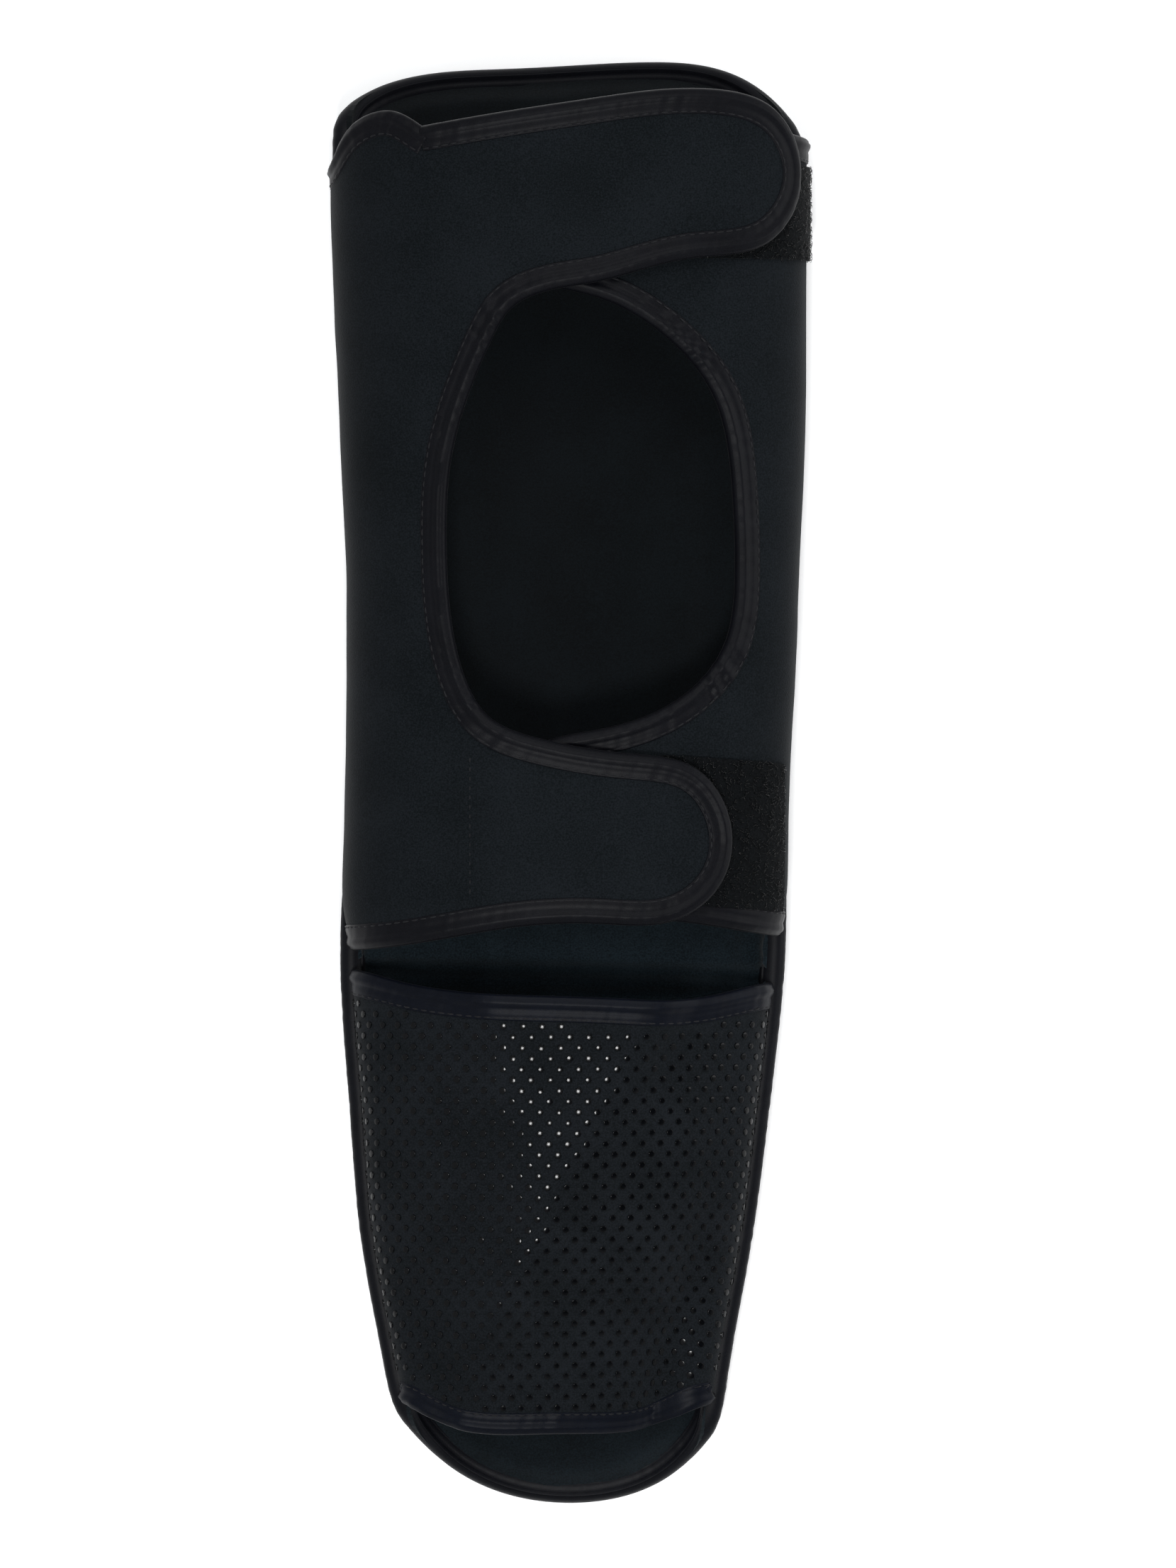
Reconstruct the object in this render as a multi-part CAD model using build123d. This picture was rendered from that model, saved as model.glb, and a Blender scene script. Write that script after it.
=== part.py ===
"""Shin and instep guard, lying on its padded front with the straps up.

The row frame is in millimetres. +Y runs towards the knee, +Z away from the table the guard
rests on, and X runs across it. The origin is under the middle of the guard, on the table.

The guard is a flattened tube. Its lower half is a padded trough (cover, two foams, lining)
that ends at a bound rim. Its upper half is thin: two neoprene wings that close with straps
over the calf, and a grip-dotted sole band over the foot. Every layer is a loft between the
same sections, and a vertical prism cuts its outline.
"""

import os
from collections import namedtuple

from build123d import *

# ---------------------------------------------------------------- driving dimensions
ANKLE_Y = -61.0  # the crease between the shin pad and the instep pad
ANKLE_AXIS_Z = 16.0  # the fold line, just above the lining in the crease
FOLD_RELIEF = 35.5  # degrees that each pad's front is cut back from the crease

FIT = 0.1  # between the layers of one pad
GAP = 0.3  # between parts that move apart
SEAM_GAP = 1.1  # from the pad's rim to the foot of a wing, past the rim's tape

NEOPRENE = 3.0
COVER = 1.2
LINING = 1.4
FOAM_SPLIT = 0.52  # share of the pad's thickness where the two foams meet
LOOP = 1.2  # a loop patch
HOOK = 1.0  # a hook patch
SOLE_CLOTH = 1.8
TAPE = 0.7  # binding tape, on each face of what it binds
TAPE_WIDTH = 8.3
TOE_TAPE_WIDTH = 6.8
RIM = 6.0  # thickness of the pad at its rim
RIM_TAPE_DROP = 7.0  # how far the rim's tape reaches down the pad
END_TAPE_WIDTH = 6.0  # and in from the pad's two ends

# Heights of the closed wings' layers over the inner face of the right wing.
RIGHT_OUTER = NEOPRENE
LOOP_OUTER = RIGHT_OUTER + LOOP
HOOK_INNER = LOOP_OUTER + GAP
LEFT_INNER = HOOK_INNER + HOOK
LEFT_OUTER = LEFT_INNER + NEOPRENE
SOLE_IN = 4.6  # the sole band starts this far inside the rim's outer face

PAD_POWER = 2.3  # superellipse exponents of the two halves of a section
TOP_POWER = 2.5
SECTION_STEP = 20.0
ARCH_POINTS = 13

FOLD_X = -38.5  # where the two straps fold on the left wing
SPLIT_Y = 84.0  # halfway along the calf opening

# A section of the tube: where it is, its two sides, its rim's height, how far its crown
# stands above the rim, the pad's thickness at the middle, and how low its belly reaches.
Station = namedtuple("Station", "y left right rim crown pad belly")
STATIONS = [
    Station(250.0, -79.1, 78.4, 26.0, 30.0, 7.0, 2.0),
    Station(215.0, -79.1, 78.6, 26.0, 30.4, 13.5, -0.2),
    Station(180.0, -79.0, 78.8, 26.0, 30.4, 14.5, -0.5),
    Station(120.0, -76.2, 78.2, 26.0, 30.4, 14.5, -0.5),
    Station(50.0, -73.9, 75.6, 26.0, 29.8, 14.5, -0.5),
    Station(-10.0, -74.6, 72.8, 26.0, 28.8, 14.5, -0.5),
    Station(-60.0, -76.5, 72.0, 26.0, 27.5, 14.0, -0.5),
    Station(-110.0, -73.3, 66.7, 24.5, 26.5, 13.0, -0.5),
    Station(-150.0, -70.0, 61.5, 22.0, 25.0, 12.5, -0.4),
    Station(-190.0, -63.0, 54.5, 19.5, 22.5, 11.5, 0.3),
    Station(-250.0, -52.0, 46.0, 16.0, 18.0, 7.0, 3.0),
]

# ---------------------------------------------------------------- outlines, seen from above
FAR = 95.0  # outside the tube on either side

PAD_KNEE_END = [
    (-86, 180), (-79.6, 205), (-73, 225), (-58, 233.5), (-20, 237.6), (26, 239.9),
    (53.8, 236.3), (69.4, 225), (77.6, 207), (85, 180),
]
PAD_TOE_END = [
    (66, -160), (53.6, -197), (47.2, -215), (36, -229), (0, -239.9), (-38, -229),
    (-52.2, -215), (-61.6, -197), (-75, -160),
]
LEFT_LOBE = [(-FAR, 192), (-76.5, 211), (-63.2, 221.8), (-49.4, 216.3)]
LEFT_STRAPS = [
    (-49.4, 216.3), (-24.2, 220.5), (8.9, 225.5), (47.7, 228.5), (67, 223), (76.8, 199),
    (66, 178.2), (40, 172.8), (8.9, 164.5), (-16, 156.3), (-29.8, 139), (-38.8, 110),
    (-40.9, 76), (-36.4, 39.4), (-26.6, 21.7), (-9.9, 14.5), (20, 9.5), (42, 4.6),
    (53.8, -15), (49.5, -34.5), (35, -45.3), (10, -46.4), (-18.8, -47.6), (-55.5, -53.7),
    (-FAR, -57),
]
RIGHT_EDGE = [
    (FAR, -54), (68.9, -50.9), (37.8, -45.9), (10, -43.6), (-14, -36), (-22, -12), (-14, 10),
    (8.9, 17.3), (35.5, 27.1), (51, 43.8), (55.5, 70.4), (54.4, 98), (46.7, 130.1),
    (31.1, 147.9), (8.9, 160.2), (-14, 168), (-24, 190), (-8, 213), (30, 219), (72, 215),
    (FAR, 209),
]
SOLE_TOP_EDGE = [
    (-FAR, -54), (-68.6, -63.1), (-48.6, -67.6), (-18.8, -70), (14.6, -71.1),
    (42.3, -71.4), (66.6, -66.7), (FAR, -60),
]
SOLE_TOE_EDGE = [
    (FAR, -150), (52, -198), (42.3, -212.3), (27, -217.2), (-5, -217.4), (-37.6, -215.8),
    (-52, -209.5), (-62, -196), (-FAR, -150),
]

# Each outline runs clockwise: its stretches are joined end to end by straight lines.
PAD_OUTLINE = (PAD_KNEE_END, PAD_TOE_END)
LEFT_OUTLINE = (LEFT_LOBE, LEFT_STRAPS)
RIGHT_OUTLINE = (RIGHT_EDGE,)
SOLE_OUTLINE = (SOLE_TOP_EDGE, SOLE_TOE_EDGE)

# Patches: left, right, low, high.
UPPER_LOOP = (6.0, FAR, 173.5, 204.0)
LOWER_LOOP = (8.0, 70.5, -35.0, 7.0)
UPPER_HOOK = (14.0, 64.0, 187.0, 215.0)
LOWER_HOOK = (-31.8, 36.0, -34.5, -2.5)
PATCH_CORNER = 4.0


# ---------------------------------------------------------------- sections and layers
def section_at(y):
    """The section at y, on a smooth curve through the stations round it."""
    last = len(STATIONS) - 1
    k = next(i for i in range(last) if y >= STATIONS[i + 1].y)
    before = STATIONS[max(k - 1, 0)]
    a = STATIONS[k]
    b = STATIONS[k + 1]
    after = STATIONS[min(k + 2, last)]
    span = b.y - a.y
    t = (y - a.y) / span
    values = []
    for i in range(1, len(a)):
        rise = b[i] - a[i]
        start = (b[i] - before[i]) * span / (b.y - before.y)
        end = (after[i] - a[i]) * span / (after.y - a.y)
        curve = 3 * rise - 2 * start - end + t * (start + end - 2 * rise)
        values.append(a[i] + t * (start + t * curve))
    return Station(y, *values)


def sections():
    """The tube's sections from past the knee end to past the toe."""
    count = round((STATIONS[0].y - STATIONS[-1].y) / SECTION_STEP)
    return [section_at(STATIONS[0].y - SECTION_STEP * i) for i in range(count + 1)]


def arch(y, left, right, base, height, power):
    """Points along half a superellipse from left to right, below its base if height < 0."""
    middle = (left + right) / 2
    half = (right - left) / 2
    points = []
    for i in range(ARCH_POINTS):
        turn = Vector(-1, 0, 0).rotate(Axis.Z, -180.0 * i / (ARCH_POINTS - 1))
        side = 1 if turn.X >= 0 else -1
        x = middle + half * side * abs(turn.X) ** (2 / power)
        z = base + height * abs(turn.Y) ** (2 / power)
        points.append((x, y, z))
    points[0] = (left, y, base)
    points[-1] = (right, y, base)
    return points


def crescent(outer, inner):
    """A closed wire between two arches."""
    edges = [
        Spline(*outer),
        Line(outer[-1], inner[-1]),
        Spline(*inner[::-1]),
        Line(inner[0], outer[0]),
    ]
    return Wire(edges)


def layer(outer_of, inner_of):
    """A solid between two surfaces, each a function from a section to an arch."""
    wires = [crescent(outer_of(s), inner_of(s)) for s in sections()]
    return Solid.make_loft(wires, ruled=True)


def pad_face(share, skin=0.0, lift=0.0):
    """A surface in the pad: share 0 is its front and 1 its leg side; skin moves it in."""

    def at(s):
        inset = TAPE + RIM * share + skin
        depth = s.rim - s.belly - s.pad * share - skin
        return arch(s.y, s.left + inset, s.right - inset, s.rim + lift, -depth - lift, PAD_POWER)

    return at


def wing_face(height):
    """A surface over the calf, height above the inner face of the right wing."""

    def at(s):
        left = s.left + LEFT_OUTER - height
        right = s.right - RIGHT_OUTER + height
        return arch(s.y, left, right, s.rim + SEAM_GAP, s.crown + height, TOP_POWER)

    return at


def sole_face(height):
    """A surface over the foot, height above the inner face of the sole band."""

    def at(s):
        inset = SOLE_IN + SOLE_CLOTH - height
        base = s.rim + SEAM_GAP
        return arch(s.y, s.left + inset, s.right - inset, base, s.crown + height, TOP_POWER)

    return at


# ---------------------------------------------------------------- outlines and cutters
def moved_in(points, amount):
    """A smooth line through the points, moved to the right of its own direction."""
    line = Spline(*points)
    count = 3 * (len(points) - 1)
    moved = []
    for i in range(count + 1):
        at = line @ (i / count)
        along = line % (i / count)
        moved.append(at + Vector(along.Y, -along.X) * amount)
    return moved


def prism(stretches, inset=0.0, low=-20.0, high=100.0):
    """A vertical prism on a closed outline of smooth stretches, moved in by inset."""
    lines = [moved_in(points, inset) if inset else points for points in stretches]
    edges = []
    for i, points in enumerate(lines):
        edges.append(Spline(*points))
        start = lines[(i + 1) % len(lines)][0]
        if start != points[-1]:
            edges.append(Line(points[-1], start))
    face = Pos(0, 0, low) * make_face(edges)
    return extrude(face, amount=high - low, dir=(0, 0, 1))


def block(x0, x1, y0, y1, z0=-20.0, z1=100.0):
    """A plain block between two corners."""
    size = Box(x1 - x0, y1 - y0, z1 - z0)
    return Pos((x0 + x1) / 2, (y0 + y1) / 2, (z0 + z1) / 2) * size


def beyond_ankle(side):
    """Everything on one side of the ankle fold, side 1 towards the knee and -1 the toe."""
    slope = Vector(1, 0, 0).rotate(Axis.Z, FOLD_RELIEF)
    drop = ANKLE_AXIS_Z + 20
    lean = drop * slope.Y / slope.X
    outline = [
        (GAP, 100),
        (GAP, ANKLE_AXIS_Z),
        (GAP + lean, ANKLE_AXIS_Z - drop),
        (400, ANKLE_AXIS_Z - drop),
        (400, 100),
    ]
    points = [(-FAR, ANKLE_Y + side * out, z) for out, z in outline]
    face = Face(Wire.make_polygon(points, close=True))
    return Solid.extrude(face, Vector(2 * FAR, 0, 0))


# ---------------------------------------------------------------- the pieces
def pad_layers():
    """The pad's four layers and its rim tape, over the whole length."""
    hull = prism(PAD_OUTLINE, TAPE, low=0.0)
    cover = layer(pad_face(0), pad_face(0, COVER))
    foam_outer = layer(pad_face(0, COVER + FIT), pad_face(FOAM_SPLIT))
    foam_inner = layer(pad_face(FOAM_SPLIT, FIT), pad_face(1, -LINING - FIT))
    lining = layer(pad_face(1, -LINING), pad_face(1))
    layers = {
        "cover": cover & hull,
        "foam_outer": foam_outer & hull,
        "foam_inner": foam_inner & hull,
        "lining": lining & hull,
    }
    core = layer(pad_face(0), pad_face(1)) & hull
    wrap = layer(pad_face(0, -TAPE, TAPE), pad_face(1, TAPE, TAPE))
    middle = layer_below_rim() & prism(PAD_OUTLINE, END_TAPE_WIDTH)
    layers["rim_binding"] = (wrap & prism(PAD_OUTLINE, low=0.0)) - core - middle
    return layers


def layer_below_rim():
    """Everything in the trough lower than the rim's tape reaches."""

    def slab(s):
        top = s.rim - RIM_TAPE_DROP
        corners = [(-FAR, top), (FAR, top), (FAR, -30), (-FAR, -30)]
        return Wire.make_polygon([(x, s.y, z) for x, z in corners], close=True)

    return Solid.make_loft([slab(s) for s in sections()], ruled=True)


def bound_panel(outline, face_of, inner, outer, width):
    """A panel between two heights, and the tape folded over its free edge."""
    panel = layer(face_of(outer), face_of(inner)) & prism(outline, TAPE)
    wrap = layer(face_of(outer + TAPE), face_of(inner - TAPE)) & prism(outline)
    tape = wrap - prism(outline, width) - panel
    return panel, tape


def patch(limits, inner, outer):
    """A patch between two heights over the calf."""
    x0, x1, y0, y1 = limits
    outline = Pos((x0 + x1) / 2, (y0 + y1) / 2) * RectangleRounded(x1 - x0, y1 - y0, PATCH_CORNER)
    return layer(wing_face(outer), wing_face(inner)) & extrude(outline, amount=100)


def shin_and_instep():
    parts = {}
    knee_side = beyond_ankle(1)
    toe_side = beyond_ankle(-1)
    for name, shape in pad_layers().items():
        parts[f"shin_{name}"] = shape & knee_side
        parts[f"instep_{name}"] = shape & toe_side
    return parts


def sole():
    panel, tape = bound_panel(SOLE_OUTLINE, sole_face, 0.0, SOLE_CLOTH, TAPE_WIDTH)
    toe_tape = bound_panel(SOLE_OUTLINE, sole_face, 0.0, SOLE_CLOTH, TOE_TAPE_WIDTH)[1]
    halfway = -140.0
    return {
        "sole_panel": panel,
        "sole_top_binding": tape & block(-FAR, FAR, halfway, 0),
        "sole_toe_binding": toe_tape & block(-FAR, FAR, -250, halfway),
    }


def left_side():
    """The left wing and the two straps that carry on from it."""
    panel, tape = bound_panel(LEFT_OUTLINE, wing_face, LEFT_INNER, LEFT_OUTER, TAPE_WIDTH)
    upper = block(FOLD_X + GAP / 2, FAR, SPLIT_Y, 260)
    lower = block(FOLD_X + GAP / 2, FAR, -100, SPLIT_Y)
    root = block(-FAR, FOLD_X - GAP / 2, -100, 260)
    return {
        "left_wing_panel": panel & root,
        "upper_strap_panel": panel & upper,
        "lower_strap_panel": panel & lower,
        "left_wing_knee_binding": tape & root & block(-FAR, FAR, 150, 260),
        "left_wing_calf_binding": tape & root & block(-FAR, FAR, 0, 150),
        "left_wing_ankle_binding": tape & root & block(-FAR, FAR, -100, 0),
        "upper_strap_binding": tape & upper,
        "lower_strap_binding": tape & lower,
        "upper_hook_patch": patch(UPPER_HOOK, HOOK_INNER, LEFT_INNER - FIT),
        "lower_hook_patch": patch(LOWER_HOOK, HOOK_INNER, LEFT_INNER - FIT),
    }


def right_side():
    """The right wing and its two loop patches, under the straps."""
    panel, tape = bound_panel(RIGHT_OUTLINE, wing_face, 0.0, RIGHT_OUTER, TAPE_WIDTH)
    return {
        "right_wing_panel": panel,
        "right_wing_binding": tape,
        "upper_loop_patch": patch(UPPER_LOOP, RIGHT_OUTER + FIT, LOOP_OUTER),
        "lower_loop_patch": patch(LOWER_LOOP, RIGHT_OUTER + FIT, LOOP_OUTER),
    }


def build():
    parts = {}
    parts.update(shin_and_instep())
    parts.update(sole())
    parts.update(left_side())
    parts.update(right_side())
    return centred(parts)


def centred(parts):
    """The same parts, moved so that the origin is under the middle of their box."""
    boxes = [shape.bounding_box() for shape in parts.values()]
    x = (min(b.min.X for b in boxes) + max(b.max.X for b in boxes)) / 2
    y = (min(b.min.Y for b in boxes) + max(b.max.Y for b in boxes)) / 2
    return {name: Pos(-x, -y, 0) * shape.solid() for name, shape in parts.items()}


if __name__ == "__main__":
    os.makedirs("parts", exist_ok=True)
    for name, shape in build().items():
        box = shape.bounding_box()
        solids = shape.solids()
        sizes = ", ".join(f"{s.volume:.0f}" for s in solids)
        print(f"{name:22} {len(solids)} solids ({sizes}) {box.min} {box.max}")
        export_step(shape, f"parts/{name}.step")
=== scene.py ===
"""A shin and instep guard on a white table, seen from above: its soft pieces, materials and light.

Every soft surface is a layer of one flattened tube, as in the CAD. A layer is unrolled to
(w, y): w is the distance across from its middle line and y runs towards the knee. Pieces are
drawn in (w, y) and rolled back up. Lengths are in millimetres until a mesh is made.
"""

import math

import bpy
import numpy as np
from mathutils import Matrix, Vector, geometry, noise


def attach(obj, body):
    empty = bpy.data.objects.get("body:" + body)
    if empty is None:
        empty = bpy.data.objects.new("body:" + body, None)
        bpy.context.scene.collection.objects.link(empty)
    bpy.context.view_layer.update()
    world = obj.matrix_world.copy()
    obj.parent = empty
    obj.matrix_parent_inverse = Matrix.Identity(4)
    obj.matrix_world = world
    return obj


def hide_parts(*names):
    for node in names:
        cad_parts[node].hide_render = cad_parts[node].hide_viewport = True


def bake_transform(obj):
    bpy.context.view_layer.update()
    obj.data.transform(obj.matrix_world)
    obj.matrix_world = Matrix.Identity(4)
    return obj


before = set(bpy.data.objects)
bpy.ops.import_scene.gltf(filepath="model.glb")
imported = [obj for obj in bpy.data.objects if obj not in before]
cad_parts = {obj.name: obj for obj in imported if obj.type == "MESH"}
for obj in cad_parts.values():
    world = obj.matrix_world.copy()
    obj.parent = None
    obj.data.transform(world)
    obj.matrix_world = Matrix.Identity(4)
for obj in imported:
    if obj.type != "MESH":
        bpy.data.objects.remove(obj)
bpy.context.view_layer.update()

# ---- dimensions, in millimetres
ANKLE_Y = -61.0
SEAM_GAP = 1.1
SEWN_IN = 1.7  # the wings and the sole band reach this far past their seams, into the rim
NEOPRENE = 3.0
LOOP = 1.2
HOOK = 1.0
GAP = 0.3  # between a loop patch and the hooks over it
SOLE_CLOTH = 1.8
TAPE = 0.7
TAPE_WIDTH = 8.3
TOE_TAPE_WIDTH = 7.2
RIM = 6.0
RIM_TAPE = 7.0
CORNER = 14.0  # the pad's corners are eased over this length
THIN_EDGE = 15.0  # the pad thins towards its rim over this length
LINING = 1.8
EDGE_INSET = 0.4  # the pad's layers stop this far inside its rim tape
ANKLE_TUCK = 5.5  # the wings are drawn in this far from the pad's rim at the ankle
TUCK_Y = -62.0
TUCK_REACH = 16.0
RIGHT_OUTER = NEOPRENE
LEFT_OUTER = RIGHT_OUTER + LOOP + GAP + HOOK + NEOPRENE
SOLE_IN = 4.6
PAD_POWER = 2.3
TOP_POWER = 2.5
STRAP_CUT_X = -42.5  # the straps' meshes start here, just before they bend
SPLIT_Y = 84.0  # the upper strap is on the knee side of this line and the lower one below it
CREASE_X = -48.0  # the soft crease across the upper strap's root
PATCH_SEAM_X = -32.7  # the lower hook patch's seam, seen through its strap
FAR = 95.0  # past every layer's side
HALF_LENGTH = 240.0

# Tapes and their stitches
TAPE_ROLL = [
    (0.26, 0.55), (0.36, 0.50), (0.48, 0.05), (0.55, -0.22), (0.66, -0.10), (0.84, -0.10),
    (0.92, -0.40), (0.97, -0.15),
]  # share of the width, height over the flat tape
FINE_PUCKER = 2.6  # length of a tape's small puckers, and of its slow waves
SLOW_PUCKER = 14.0
STITCH_SHARE = 0.915  # the stitches are this share of a tape's width in from its edge
STITCH_SUNK = 0.3
STITCH_WIDE = 1.25  # a stitch's width over its height
STITCH_BEND = np.array([-0.30, -0.02, 0.06, -0.02, -0.30])
LOOP_ROOT = 0.08  # how deep a nylon loop starts in its patch

# Spacing of mesh points
SHEET_STEP = 2.0
EDGE_STEP = 0.9
PAD_STEP = 2.2
FRONT_STEP = 3.6

# y, left, right, rim height, crown over the rim, pad thickness, belly height
STATIONS = np.array([
    (250.0, -79.1, 78.4, 26.0, 30.0, 7.0, 2.0),
    (215.0, -79.1, 78.6, 26.0, 30.4, 13.5, -0.2),
    (180.0, -79.0, 78.8, 26.0, 30.4, 14.5, -0.5),
    (120.0, -76.2, 78.2, 26.0, 30.4, 14.5, -0.5),
    (50.0, -73.9, 75.6, 26.0, 29.8, 14.5, -0.5),
    (-10.0, -74.6, 72.8, 26.0, 28.8, 14.5, -0.5),
    (-60.0, -76.5, 72.0, 26.0, 27.5, 14.0, -0.5),
    (-110.0, -73.3, 66.7, 24.5, 26.5, 13.0, -0.5),
    (-150.0, -70.0, 61.5, 22.0, 25.0, 12.5, -0.4),
    (-190.0, -63.0, 54.5, 19.5, 22.5, 11.5, 0.3),
    (-250.0, -52.0, 46.0, 16.0, 18.0, 7.0, 3.0),
])

# Outlines seen from above, clockwise.
PAD_KNEE_END = [
    (-86, 180), (-79.6, 205), (-73, 225), (-58, 233.5), (-20, 237.6), (26, 239.9),
    (53.8, 236.3), (69.4, 225), (77.6, 207), (85, 180),
]
PAD_TOE_END = [
    (66, -160), (53.6, -197), (47.2, -215), (36, -229), (0, -239.9), (-38, -229),
    (-52.2, -215), (-61.6, -197), (-75, -160),
]
LEFT_LOBE = [
    (-FAR, 190), (-79.5, 204), (-74.3, 215.2), (-67.5, 220.4), (-59, 221.5), (-49.4, 216.6),
]
LEFT_STRAPS = [
    (-49.4, 216.3), (-24.2, 220.5), (8.9, 225.5), (47.7, 228.5), (67, 223), (76.8, 199),
    (66, 178.2), (40, 172.8), (8.9, 165), (-11.3, 160.8), (-19.5, 156), (-24.8, 148),
    (-30.3, 136), (-39.2, 108), (-40.9, 76), (-36.4, 39.4), (-26.6, 21.7), (-9.9, 14.5),
    (20, 9.5), (42, 4.6), (53.8, -15), (49.5, -34.5), (35, -45.3), (10, -46.4),
    (-18.8, -47.6), (-55.5, -53.7), (-FAR, -57),
]
RIGHT_EDGE = [
    (FAR, -54), (68.9, -50.9), (37.8, -45.9), (10, -43.6), (-14, -36), (-22, -12), (-14, 10),
    (8.9, 17.3), (35.5, 27.1), (51, 43.8), (55.5, 70.4), (54.4, 98), (46.7, 130.1),
    (31.1, 147.9), (8.9, 160.2), (-14, 168), (-24, 190), (-8, 213), (30, 219), (72, 215),
    (FAR, 209),
]
SOLE_TOP_EDGE = [
    (-FAR, -54), (-68.6, -63.1), (-48.6, -67.6), (-18.8, -70), (14.6, -71.1),
    (42.3, -71.4), (66.6, -66.7), (FAR, -60),
]
SOLE_TOE_EDGE = [
    (FAR, -150), (52, -198), (42.3, -212.3), (27, -217.2), (-5, -217.4), (-37.6, -215.8),
    (-52, -209.5), (-62, -196), (-FAR, -150),
]
UPPER_LOOP = [(6, 204), (FAR, 204), (FAR, 173), (6, 173)]
LOWER_LOOP = [(20, 7.5), (32, 9.2), (70.5, 6.2), (69.6, -42.5), (43.9, -40.6), (20, -35)]
UPPER_HOOK = [(14, 215), (64, 215), (64, 187), (14, 187)]
LOWER_HOOK = [(-31.8, -2.5), (36, -2.5), (36, -34.5), (-31.8, -34.5)]


# ---- small helpers
def unit(vectors):
    """The vectors, each at length 1."""
    return vectors / np.linalg.norm(vectors, axis=-1, keepdims=True)


def bell(distance, reach):
    """1 at no distance, falling off smoothly over the reach on both sides."""
    return np.exp(-((distance / reach) ** 2))


def rising(y, start, soft):
    """0 before a start and 1 past it, with a soft step."""
    return 1 / (1 + np.exp(-(y - start) / soft))


def past(distance, soft):
    """The distance where it is positive and else 0, with a soft bend between."""
    return soft * np.logaddexp(0, distance / soft)


def eased(share):
    """A share held between 0 and 1, with a soft start and end."""
    share = np.clip(share, 0, 1)
    return share * share * (3 - 2 * share)


# ---- the tube's surfaces
def section_fields(y):
    """The stations' fields at each y, on a smooth curve through the stations."""
    at = STATIONS[:, 0]
    k = np.clip(np.searchsorted(-at, -y, side="right") - 1, 0, len(at) - 2)
    before = STATIONS[np.maximum(k - 1, 0)]
    a = STATIONS[k]
    b = STATIONS[k + 1]
    after = STATIONS[np.minimum(k + 2, len(at) - 1)]
    span = (b - a)[:, :1]
    t = (y[:, None] - a[:, :1]) / span
    start = (b - before) * span / (b - before)[:, :1]
    end = (after - a) * span / (after - a)[:, :1]
    rise = b - a
    values = a + t * (start + t * (3 * rise - 2 * start - end + t * (start + end - 2 * rise)))
    return values[:, 1:].T


class Surface:
    """One layer of the tube, tabled over w and y."""

    W = np.arange(-140.0, 141.0, 1.0)
    Y = np.arange(-258.0, 259.0, 2.0)
    TURNS = 721
    SOFTEN = 3  # table cells that each smoothing pass averages over

    def __init__(self, left, right, base, height, power):
        turn = np.linspace(0, math.pi, self.TURNS)
        across = -np.sign(np.cos(turn)) * np.abs(np.cos(turn)) ** (2 / power)
        up = np.abs(np.sin(turn)) ** (2 / power)
        rows = []
        self.reach = []
        for l, r, b, h in zip(left, right, base, height):
            x = (l + r) / 2 + (r - l) / 2 * across
            z = b + h * up
            length = np.concatenate([[0], np.cumsum(np.hypot(np.diff(x), np.diff(z)))])
            w = length - length[self.TURNS // 2]
            low = (z[1] - z[0]) / (w[1] - w[0])
            row_x = np.interp(self.W, w, x)
            beyond = np.maximum(0, np.abs(self.W) - w[-1])
            rows.append((row_x, np.interp(self.W, w, z) - low * beyond))
            self.reach.append(w[-1])
        self.reach = np.array(self.reach)
        self.x = self.softened(np.array([row[0] for row in rows]))
        self.z = self.softened(np.array([row[1] for row in rows]))

    def softened(self, table):
        """The table, smoothed a little across so that facets don't show."""
        kernel = np.ones(self.SOFTEN) / self.SOFTEN
        for _ in range(2):
            padded = np.pad(table, ((0, 0), (1, 1)), mode="reflect", reflect_type="odd")
            table = np.array([np.convolve(row, kernel, mode="valid") for row in padded])
        return table

    def index(self, grid, value):
        """Where on a grid a value is, as a fractional index."""
        return np.clip((value - grid[0]) / (grid[1] - grid[0]), 0, len(grid) - 1.001)

    def cell(self, table, w, y):
        """The table's value at each (w, y), between its grid points."""
        i = self.index(self.Y, y)
        j = self.index(self.W, w)
        i0 = i.astype(int)
        j0 = j.astype(int)
        u = i - i0
        v = j - j0
        near = table[i0, j0] * (1 - v) + table[i0, j0 + 1] * v
        far = table[i0 + 1, j0] * (1 - v) + table[i0 + 1, j0 + 1] * v
        return near * (1 - u) + far * u

    def end(self, y):
        """Half the layer's width across, along its curve, at each y."""
        return np.interp(y, self.Y, self.reach)

    def place(self, w, y):
        """Points on the surface."""
        return np.stack([self.cell(self.x, w, y), y, self.cell(self.z, w, y)], axis=-1)

    def normal(self, w, y):
        """The unit normal, upwards at the middle line."""
        step = 1.5
        along_w = self.place(w + step, y) - self.place(w - step, y)
        along_y = self.place(w, y + step) - self.place(w, y - step)
        return unit(np.cross(along_w, along_y))

    def at(self, w, y, height):
        """Points that stand off the surface by a height."""
        w = np.asarray(w, float)
        y = np.asarray(y, float)
        return self.place(w, y) + self.normal(w, y) * np.asarray(height)[..., None]

    def unroll(self, points):
        """(x, y) points seen from above, as (w, y)."""
        result = []
        for x, y in points:
            row = self.index(self.Y, y)
            i = int(row)
            xs = self.x[i] * (1 - row + i) + self.x[i + 1] * (row - i)
            end = self.end(y)
            inside = np.abs(self.W) <= end - 1
            w = np.interp(x, xs[inside], self.W[inside])
            over = max(0, x - xs[inside][-1], xs[inside][0] - x)
            result.append((w + math.copysign(over, x), y))
        return np.array(result)


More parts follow.
